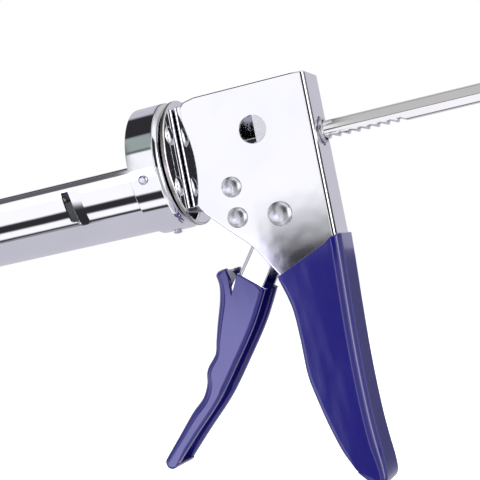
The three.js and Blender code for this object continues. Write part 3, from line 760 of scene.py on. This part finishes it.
# ---- the body ----
def body_shell():
    half = extent("body_frame")[1].y
    spine = [Vector((SPINE_X, z)) for z in (BODY_TOP - 0.2, -10, -46)] + spline(HANDLE_BACK, 5)
    handle = spline(HANDLE_FRONT, 5)[::-1]
    front = BODY_FRONT + FRONT_FOLD
    lower = [(44.6, -45.2, 3), (41.2, -41, 3), (33.2, -33.4, 6), (24.4, -24.6, 3), (front, -19.5, 2)]
    upper = [(front, 22, 1), (24, 25, 3), (29, 26, 6), (74, BODY_TOP, 0)]
    corners = [(p.x, p.y, 0) for p in handle[-1:]] + lower + upper
    rim = handle + filleted(corners, closed=False)[1:]
    reach = [SHEET / 2] * (len(rim) + 2)
    bm = bmesh.new()
    channel(bm, spine, [BODY_FOLD] * len(spine), [SHEET] * len(spine), rim, half, SHEET, reach)
    x, z, radius = CUTTER_HOLE
    hole = bmesh.new()
    punch(hole, -half, 1, radius, along_y(x, z))
    punch(hole, SPINE_X, -1, GUIDE_HOLE, at)
    piece("body_shell", drilled(bm, hole), CHROME, "frame", "body_frame")
    bm = bmesh.new()
    edge = [Vector((BODY_FRONT, z)) for z in (-20.5, -19, 22, 23.6)]
    folded_edge(bm, edge, half + PROUD, FRONT_FOLD, depth=6)
    piece("body_front_folds", bm, CHROME, "frame", bevel=EDGE)


def handle_grip():
    """The coat on the handle. Its fold and its wall are least at the foot, where the spine turns forward."""
    half = extent("handle_grip")[1].y
    wall = SHEET + 2 * COAT
    dip = [Vector(DIP_FRONT), Vector(DIP_BACK)]
    back = [Vector((SPINE_X, GRIP_TOP)), *spline(HANDLE_BACK, 8), Vector(HANDLE_FRONT[-1])]
    spine = moved(back, COAT)
    front = moved(spline(HANDLE_FRONT, 8)[::-1], COAT)[1:]
    rim = [*front, dip[0], dip[0].lerp(dip[1], 0.1), dip[0].lerp(dip[1], 0.9)]
    lowest = HANDLE_BACK[-2][1]
    folds = [min(GRIP_FOLD, 2.6 + 0.12 * (p.y - lowest), 0.4 + 0.4 * (p - back[-1]).length) for p in back]
    walls = [min(wall, 2.2 + 0.25 * (p.y - lowest)) for p in back]
    from_foot = [0.5, 0.6, 0.8, 1.1, 1.4, 1.7]
    to_dip = [1.6, 1.2, 0.8]
    even = [COAT_ROUND] * (len(front) - len(from_foot) - len(to_dip))
    reach = from_foot + even + to_dip + [0.5] * (len(dip) + 3)
    bm = bmesh.new()
    channel(bm, spine, folds, walls, rim, half, wall, reach, GRIP_LEAN)
    piece("handle_grip_dip", bm, VINYL_BLUE, "frame", "handle_grip")


# ---- the trigger ----
def trigger_grip():
    """The coat on the lever. Its web goes round the tip, and stands up as a tongue above the sides."""
    half = extent("trigger_grip")[1].y
    wall = SHEET + 2 * COAT
    way = [point[:2] for point in FINGER_SIDE]
    line, folds = spline(way, 6, [point[2] for point in FINGER_SIDE])
    line, walls = spline(way, 6, [point[3] for point in FINGER_SIDE])
    tip = half_circle(Vector(THUMB_SIDE[-1]), line[0])
    folds = [INNER_FOLD + (folds[0] - INNER_FOLD) * k / len(tip) for k in range(len(tip))] + folds
    walls = walls[:1] * len(tip) + walls
    spine = moved(tip + line, COAT)
    tongue = moved(spine, -TONGUE_DEPTH)[-8:][::-1]
    thumb = moved(spline(THUMB_SIDE, 8), COAT)[:-1]
    dip = [Vector(p) for p in TRIGGER_DIP]
    rim = [*tongue, Vector(TONGUE_FOOT), dip[1], dip[1].lerp(dip[0], 0.2), dip[1].lerp(dip[0], 0.7), *thumb]
    to_tip = [1.4] * 13 + [1.2, 1, 0.8, 0.6]
    even = [COAT_ROUND] * (len(thumb) - len(to_tip))
    reach = [0.4] * (len(tongue) + 1) + [0.5, 0.5, 0.8] + even + to_tip + [0.4, 2]
    bm = bmesh.new()
    channel(bm, spine, folds, walls, rim, half, wall, reach)
    piece("trigger_grip_dip", bm, VINYL_BLUE, "trigger", "trigger_grip")


def trigger_lever():
    half = extent("trigger_lever")[1].y
    arm = filleted(TRIGGER_ARM, steps=6)
    way = [point[:2] for point in FINGER_SIDE]
    web = spline(way, 4)
    inside_arm = 0.05
    walls = moved(spline(way[:-2], 4), -1) + [Vector(p) for p in TRIGGER_DIP[::-1]] + spline(THUMB_SIDE, 4)
    bm = bmesh.new()
    for side in (-1, 1):
        low, high = sorted((side * half, side * (half - SHEET)))
        plate(bm, arm, low, high, upright)
        plate(bm, walls, low + inside_arm, high - inside_arm, upright)
    plate(bm, web + moved(web, -SHEET)[::-1], -half, half, upright)
    edge = spline(TRIGGER_FRONT, 6)
    folded_edge(bm, edge, half + PROUD, TRIGGER_FOLD, depth=3.6)
    piece("trigger_lever_pressing", bm, CHROME, "trigger", "trigger_lever")
    bm = bmesh.new()
    plate(bm, filleted(BLADE), -half - 3 * PROUD, -half + 0.3, upright, edge=0.05)
    piece("cutter_blade_face", bm, GROUND_STEEL, "trigger")


# ---- rivets and pins along Y ----
def side_rivets():
    """Domed heads outside both side plates, slightly flattened, on a shank."""
    shank, lip, flatness = 2, 0.3, 0.9
    face = extent("body_frame")[1].y + 0.03
    for node in ("trigger_rivet", "bracket_rivet_upper", "bracket_rivet_lower"):
        low, high = extent(node)
        centre = middle(node)
        head, rise = (high.x - low.x) / 2, high.y - face - lip
        dome = [(face, head - 0.25), (face + lip, head)]
        dome += [(face + lip + rise * sin(t) ** flatness, head * cos(t)) for t in quarter(14)[1:]]
        profile = [(-y, r) for y, r in reversed(dome)] + [(-face, shank), (face, shank)] + dome
        bm = bmesh.new()
        turned(bm, profile, along_y(centre.x, centre.z), sides=64)
        piece(node + "_heads", bm, ZINC, "frame", node)
    low, high = extent("drive_pawl_pin")
    centre, radius = middle("drive_pawl_pin"), (high.x - low.x) / 2
    profile = [(low.y, 0, 0), (low.y, radius, EDGE), (high.y, radius, EDGE), (high.y, 0, 0)]
    turned_piece("drive_pawl_pin_turned", profile, STEEL, "trigger", "drive_pawl_pin",
                 along_y(centre.x, centre.z), closed=False)


# ---- pawls, bracket and springs inside the body ----
def pawl(node, body, pivot, eye, bore):
    """A plate with an eye round its pivot and an arm up to a tip under the rod."""
    low, high = extent(node)
    x, z = pivot
    tip = Vector((low.x + 0.4, high.z))
    steps = 20
    turns = [radians(-150 + 210 * k / steps) for k in range(steps + 1)]
    outline = [Vector((x + eye * cos(t), z + eye * sin(t))) for t in turns]
    arm = [(*outline[-1], 0), (tip.x + 2.6, tip.y - 0.2, 0.6), (tip.x, tip.y, EDGE)]
    arm += [(tip.x - 0.4, tip.y - 2.4, 0.8), (*outline[0], 0)]
    outline += filleted(arm, closed=False)[1:-1]
    bm = bmesh.new()
    plate(bm, outline, low.y, high.y, upright)
    cutter = drill(low.y - 1, high.y + 1, bore, along_y(x, z), sides=32)
    piece(node + "_plate", drilled(bm, cutter), STEEL, body, node)


def pawls():
    pin, rivet = middle("drive_pawl_pin"), middle("bracket_rivet_upper")
    pawl("drive_pawl", "drive_pawl", (pin.x, pin.z), eye=3.6, bore=1.9)
    pawl("holding_pawl", "holding_pawl", (rivet.x, rivet.z), eye=4.4, bore=2.6)


def torsion_spring(node, body, pivot, coil, gauge, turns, start, end):
    """A coil of wire round a pin along Y, with a straight leg at each end. Coil is the coil's radius and
    gauge the wire's."""
    rise_per_turn = gauge * 2.3
    low = extent(node)[0].y + gauge
    ways = [Vector(p) - Vector(pivot) for p in (start, end)]
    first, last = (atan2(way.y, way.x) for way in ways)
    lead, lag = (acos(min(1, coil / way.length)) for way in ways)
    begin, finish = first + lead, last - lag
    while finish < begin + 2 * pi * turns:
        finish += 2 * pi
    steps = 24 * (turns + 1)
    path = [Vector((start[0], low, start[1]))]
    for k in range(steps + 1):
        turn = begin + (finish - begin) * k / steps
        rise = rise_per_turn * (turn - begin) / (2 * pi)
        path.append(Vector((pivot[0] + coil * cos(turn), low + rise, pivot[1] + coil * sin(turn))))
    path.append(Vector((end[0], path[-1].y, end[1])))
    bm = bmesh.new()
    tube(bm, path, gauge)
    piece(node + "_wire", bm, SPRING_STEEL, body, node)


def springs():
    pivot, pin, rivet = (middle(n) for n in ("trigger_rivet", "drive_pawl_pin", "bracket_rivet_upper"))
    torsion_spring("trigger_spring", "frame", (pivot.x, pivot.z),
                   coil=4.6, gauge=0.6, turns=3, start=(77.4, -20), end=(33.4, -56.6))
    torsion_spring("drive_pawl_spring", "trigger", (pin.x, pin.z),
                   coil=2.4, gauge=0.35, turns=2, start=(61.5, -29.5), end=(56.4, -8))
    torsion_spring("holding_pawl_spring", "frame", (rivet.x, rivet.z),
                   coil=3.1, gauge=0.35, turns=2, start=(41.6, -26), end=(34.6, -8))


def front_bracket():
    low, high = extent("front_bracket")
    front, half = low.x, high.y
    upper = [(front, -9, 0.5), (34, -9, 4), (43, -12.5, 3)]
    lower = [(43, -31, 2), (38, -33.6, 1), (34, -33.2, 2), (front, -21, 1)]
    ear = filleted(upper + lower)
    bm = bmesh.new()
    for side in (-1, 1):
        plate(bm, ear, *sorted((side * half, side * (half - SHEET))), upright)
    web = filleted([(-half, -22, 2), (half, -22, 2), (half, 14, 2), (-half, 14, 2)])
    plate(bm, web, front, front + SHEET, crosswise)
    mesh = drilled(bm, drill(front - 1, front + 3, SWIVEL_HOLE, at))
    piece("front_bracket_pressing", mesh, STEEL, "frame", "front_bracket")


# ---- the rod and its plunger ----
def tooth_level(x, radius):
    """How low the rod's underside reaches at x: teeth ramp down rearwards and end in a steep face."""
    first = TOOTH_LAST - TOOTH_COUNT * TOOTH_PITCH + TOOTH_LAND
    if not first < x < TOOTH_LAST:
        return -radius
    into = (x - first) % TOOTH_PITCH
    ramp = TOOTH_PITCH - TOOTH_LAND
    return TOOTH_TOP - (radius + TOOTH_TOP) * min(1, into / ramp)


def rod_stations(front, rear):
    """Where the rod's shape changes along X."""
    spots_in_tooth = (-0.12, 0.12, 1, 2.2, TOOTH_PITCH - TOOTH_LAND)
    stations = {front + ROD_CHAMFER, rear}
    first = TOOTH_LAST - TOOTH_COUNT * TOOTH_PITCH + TOOTH_LAND
    for i in range(TOOTH_COUNT):
        start = first + i * TOOTH_PITCH
        stations |= {start + spot for spot in spots_in_tooth}
    return sorted(stations)


def push_rod():
    low, high = extent("push_rod")
    radius = high.z
    bend = 9
    rear = high.x - radius - bend
    drop = low.z + radius + bend
    spots = [(x, tooth_level(x, radius)) for x in rod_stations(low.x, rear)]
    sides = 64
    rows = []
    for size, x in ((0, low.x), (radius - ROD_CHAMFER, low.x), (radius, low.x + ROD_CHAMFER)):
        count = sides if size else 1
        turns = [2 * pi * k / sides for k in range(count)]
        rows.append([at(x, size * cos(t), size * sin(t)) for t in turns])
    for x, level in spots[1:]:
        turns = [2 * pi * k / sides for k in range(sides)]
        rows.append([at(x, radius * cos(t), max(radius * sin(t), level)) for t in turns])
    path = [(rear + bend * sin(t), -bend * (1 - cos(t)), t) for t in quarter(16)[1:]]
    path.append((rear + bend, drop - bend, pi / 2))
    for x, z, lean in path:
        rows.append(rod_ring(x, z, lean, radius, sides))
    for t in quarter(8)[1:]:
        size = radius * cos(t) if t < pi / 2 else 0
        rows.append(rod_ring(rear + bend, drop - bend - radius * sin(t), pi / 2, size, sides))
    bm = bmesh.new()
    made = [[bm.verts.new(p) for p in row] for row in rows]
    for a, b in zip(made, made[1:]):
        bridge(bm, a, b)
    piece("push_rod_toothed", bm, ROD_CHROME, "rod", "push_rod")


def rod_ring(x, z, lean, radius, sides):
    """One ring of the rod, leaning forward by an angle as the hook bends down."""
    count = sides if radius else 1
    ring = []
    for k in range(count):
        t = 2 * pi * k / sides
        up = radius * sin(t)
        ring.append(at(x + up * sin(lean), radius * cos(t), z + up * cos(lean)))
    return ring


def plunger():
    low, high = extent("plunger_disc")
    radius, hole = high.y, 2.8
    back, inside = low.x + SHEET, radius - SHEET
    disc = [(low.x, hole, 0.2), (low.x, radius, 2.4), (high.x, radius, EDGE), (high.x, inside, EDGE)]
    disc += [(back, inside, 1), (back, hole, 0.2)]
    turned_piece("plunger_disc_pressing", disc, CHROME, "rod", "plunger_disc")
    washer("plunger_backing_washer", "plunger_backing", hole, 0.2, 0.4, ZINC, "rod")
    low, high = extent("plunger_rivet")
    head, shank = low.x + 1.6, 2.5
    rivet = [(low.x, 0, 0), (low.x, high.y, 0.7), (head, high.y, 0.2), (head, shank, 0)]
    rivet += [(high.x, shank, EDGE), (high.x, 0, 0)]
    turned_piece("plunger_rivet_turned", rivet, ZINC, "rod", "plunger_rivet", closed=False)


def rod_guide():
    low, high = extent("rod_guide")
    bore, neck, shoulder = 4.35, 5.3, 6
    inner, step = SPINE_X - SHEET - GAP, SPINE_X - SHEET / 2
    profile = [(low.x, bore, EDGE), (low.x, high.y, EDGE), (inner, high.y, 0.1), (inner, shoulder, 0)]
    profile += [(step, shoulder, 0.1), (step, neck, 0.1), (high.x, neck, 0.45), (high.x, bore, 0.4)]
    turned_piece("rod_guide_ferrule", profile, ZINC, "rod_guide", "rod_guide")


# ---- the studio ----
LAVENDER = (0.6, 0.59, 0.66)
WHITE = (1.12, 1.12, 1.15)
SHEEN = (2.8, 2.75, 4)
LAMP = (4, 4, 4)
DIM_LAMP = (2, 2, 2)
GREY = (0.62, 0.61, 0.61)
SILVER = (0.5, 0.5, 0.53)
GREENISH = (0.35, 0.42, 0.4)
SHADE = (0.13, 0.13, 0.14)
BLACK = (0.03, 0.03, 0.035)
# What the metal sees, by how far a direction leans towards the gun's rear (its X), and then by its angle
# round the gun's long axis: 0 is level on the left, 90 is up, 180 is level on the right.
UNDER = [(-180, LAVENDER), (-80, LAVENDER), (-77.5, BLACK), (-73.5, BLACK), (-71, WHITE), (-60, WHITE),
         (-57, BLACK), (-44, BLACK), (-41, WHITE)]
OVER = [(31, WHITE), (34, SHADE), (36, SHADE), (39, GREENISH), (63, GREENISH), (67, BLACK), (110, BLACK),
        (118, LAVENDER), (180, LAVENDER)]
OVER_BODY = [(38, WHITE), (46, GREENISH), (54, GREENISH), (58, BLACK), (150, BLACK), (160, LAVENDER),
             (180, LAVENDER)]
ROD_UNDER = [(-180, LAVENDER), (-128, LAVENDER), (-124, SHADE), (-112, SHADE), (-105, WHITE), (-12, WHITE)]
ROD_OVER = [(-10, SHADE), (-6, SHADE), (-3, GREY), (100, GREY), (108, GREENISH), (118, GREENISH),
            (126, GREY), (180, LAVENDER)]
REAR_UNDER = [(-180, SHADE), (-172, SHADE), (-160, LAVENDER), (-75, LAVENDER), (-65, WHITE)]
REAR_OVER = [(75, WHITE), (100, GREY), (150, GREY), (165, LAVENDER), (180, LAVENDER)]
DARK_REAR = [(-180, SILVER), (-75, LAVENDER)]
DARK_REAR_OVER = [(75, WHITE), (110, GREY), (155, GREY), (162, BLACK), (180, BLACK)]
SIDE_SHEEN = [(-15, WHITE), (-12, SHEEN), (-1, SHEEN), (2, WHITE)]
RIM_SHEEN = [(-15, WHITE), (-12, SHEEN), (-5, SHEEN), (-3, WHITE), (0, WHITE), (1.5, SHADE), (46, SHADE)]
STRIP = [(-16, WHITE), (-13, BLACK), (1.5, BLACK), (2.2, SILVER), (4, WHITE)]
LEVEL_LAMP = [(-40, WHITE), (-32, DIM_LAMP), (14, DIM_LAMP), (20, GREY)]
DARK_SIDE = [(-50, SILVER), (-1, SILVER), (0.4, BLACK), (50, BLACK), (56, WHITE)]
LIGHT_SIDE = [(-55, WHITE), (55, WHITE)]
LIT_SIDE = [(-55, WHITE), (-45, LAMP), (45, LAMP), (55, WHITE)]
ZONES = [
    (-1, UNDER + OVER),
    (-0.62, UNDER + RIM_SHEEN + OVER[4:]),
    (-0.4, UNDER + SIDE_SHEEN + OVER),
    (-0.362, UNDER + SIDE_SHEEN + OVER_BODY),
    (-0.31, UNDER + STRIP + OVER_BODY),
    (-0.24, ROD_UNDER + ROD_OVER),
    (-0.07, ROD_UNDER[:-1] + LEVEL_LAMP + ROD_OVER[3:]),
    (0.03, REAR_UNDER + DARK_SIDE + REAR_OVER),
    (0.48, DARK_REAR + DARK_SIDE + DARK_REAR_OVER),
    (0.7, DARK_REAR + LIGHT_SIDE + DARK_REAR_OVER),
    (0.86, DARK_REAR + LIT_SIDE + DARK_REAR_OVER),
    (0.955, DARK_REAR + LIGHT_SIDE + DARK_REAR_OVER),
    (0.985, [(-180, LAVENDER), (-4, LAVENDER), (-1, BLACK), (180, BLACK)]),
]
BRIGHTEST = 4
BLEND = 0.006  # how softly one zone gives way to the next


def ramp(nodes, bands):
    """A colour ramp from (degrees, colour) stops over a full turn, with the brightest at one."""
    made = nodes.new("ShaderNodeValToRGB")
    stops = made.color_ramp.elements
    while len(stops) < len(bands):
        stops.new(0.5)
    for stop, (degrees, colour) in zip(stops, bands):
        stop.position = (degrees + 180) / 360
    for stop, (degrees, colour) in zip(stops, bands):
        stop.color = (*[part / BRIGHTEST for part in colour], 1)
    return made


def calculated(nodes, links, operation, *values):
    """A Math node's result from numbers and sockets."""
    node = nodes.new("ShaderNodeMath")
    node.operation = operation
    for socket, value in zip(node.inputs, values):
        if isinstance(value, (int, float)):
            socket.default_value = value
        else:
            links.new(value, socket)
    return node.outputs[0]


def studio_world():
    """Soft white panels with dark gaps between them for the metal to reflect, and a white backdrop."""
    world = bpy.data.worlds.new("studio")
    bpy.context.scene.world = world
    world.use_nodes = True
    nodes, links = world.node_tree.nodes, world.node_tree.links
    nodes.clear()
    way = nodes.new("ShaderNodeTexCoord")
    parts = nodes.new("ShaderNodeSeparateXYZ")
    links.new(way.outputs["Generated"], parts.inputs[0])
    left = calculated(nodes, links, "MULTIPLY", parts.outputs["Y"], -1)
    angle = calculated(nodes, links, "ARCTAN2", parts.outputs["Z"], left)
    around = calculated(nodes, links, "MULTIPLY_ADD", angle, 1 / (2 * pi), 0.5)
    colour = None
    for lean, bands in ZONES:
        zone = ramp(nodes, bands)
        links.new(around, zone.inputs[0])
        if colour is None:
            colour = zone.outputs["Color"]
            continue
        share = nodes.new("ShaderNodeMapRange")
        share.inputs["From Min"].default_value = lean - BLEND
        share.inputs["From Max"].default_value = lean + BLEND
        links.new(parts.outputs["X"], share.inputs["Value"])
        mix = nodes.new("ShaderNodeMix")
        mix.data_type = "RGBA"
        links.new(share.outputs[0], mix.inputs["Factor"])
        links.new(colour, mix.inputs["A"])
        links.new(zone.outputs["Color"], mix.inputs["B"])
        colour = mix.outputs["Result"]
    panels = nodes.new("ShaderNodeBackground")
    panels.inputs["Strength"].default_value = BRIGHTEST
    links.new(colour, panels.inputs["Color"])
    backdrop = nodes.new("ShaderNodeBackground")
    backdrop.inputs["Color"].default_value = (1, 1, 1, 1)
    ray = nodes.new("ShaderNodeLightPath")
    seen = nodes.new("ShaderNodeMixShader")
    links.new(ray.outputs["Is Camera Ray"], seen.inputs[0])
    links.new(panels.outputs[0], seen.inputs[1])
    links.new(backdrop.outputs[0], seen.inputs[2])
    out = nodes.new("ShaderNodeOutputWorld")
    links.new(seen.outputs[0], out.inputs["Surface"])


def floor():
    """A wide pale floor just under the gun. The metal reflects the studio rather than it."""
    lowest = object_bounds()[0][2]
    size, clearance = 6, 0.004
    bm = bmesh.new()
    level = lowest - clearance
    corners = [(x * size, y * size, level) for x, y in ((-1, -1), (1, -1), (1, 1), (-1, 1))]
    bm.faces.new([bm.verts.new(p) for p in corners])
    obj = new_object("floor", mesh_of(bm, "floor"))
    material, links, nodes, shader = new_material("pale_floor", "chrome")
    tone = position_noise(nodes, links, 3)
    colour = two_colours(nodes, links, tone, (0.93, 0.93, 0.94), (0.96, 0.96, 0.97))
    links.new(colour, shader.inputs["Base Color"])
    shader.inputs["Roughness"].default_value = 0.9
    shader.inputs["Emission Color"].default_value = (1, 1, 1, 1)
    shader.inputs["Emission Strength"].default_value = 0.55
    obj.data.materials.append(material)
    obj.visible_glossy = False
    obj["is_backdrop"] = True


def soft_light(name, place, aim, size, power):
    """A large panel of light that the metal doesn't show."""
    data = bpy.data.lights.new(name, "AREA")
    data.size = size
    data.energy = power
    obj = new_object(name, data)
    obj.location = place
    obj.rotation_mode = "QUATERNION"
    obj.rotation_quaternion = (Vector(aim) - Vector(place)).to_track_quat("-Z", "Y")
    obj.visible_glossy = False
    obj.visible_camera = False


def lights():
    centre = (0.15, 0, -0.05)
    soft_light("overhead", (0.1, -0.2, 1.2), centre, 1.6, 16)
    soft_light("front_left", (-0.7, -1.2, 0.5), centre, 1.2, 9)
    soft_light("rear_right", (0.9, 0.9, 0.6), centre, 1.2, 6)


def camera():
    """Low and from the gun's left rear quarter, rolled so that the barrel climbs to the right."""
    azimuth, elevation, roll = (radians(v) for v in (19.3, -2.38, 11.28))
    distance, focal_length = 0.538, 92.2
    target = at(33.98, 0, -38.2)
    back = Vector((sin(azimuth) * cos(elevation), -cos(azimuth) * cos(elevation), sin(elevation)))
    right = Vector((cos(azimuth), sin(azimuth), 0))
    up = back.cross(right)
    rolled_right = right * cos(roll) - up * sin(roll)
    rolled_up = right * sin(roll) + up * cos(roll)
    data = bpy.data.cameras.new("camera")
    data.lens = focal_length
    data.sensor_width = 36
    data.clip_start = 0.01
    obj = new_object("camera", data)
    obj.matrix_world = Matrix.Translation(target + back * distance) @ Matrix(
        (rolled_right, rolled_up, back)
    ).transposed().to_4x4()
    bpy.context.scene.camera = obj


# ---- the scene ----
camera()
rear_cup()
front_plate()
swivel_parts()
barrel_trough()
nose_plate()
cradle_rivets()
body_shell()
handle_grip()
trigger_lever()
trigger_grip()
side_rivets()
pawls()
springs()
front_bracket()
push_rod()
plunger()
rod_guide()
studio_world()
floor()
lights()
bpy.context.scene.view_settings.view_transform = "Standard"
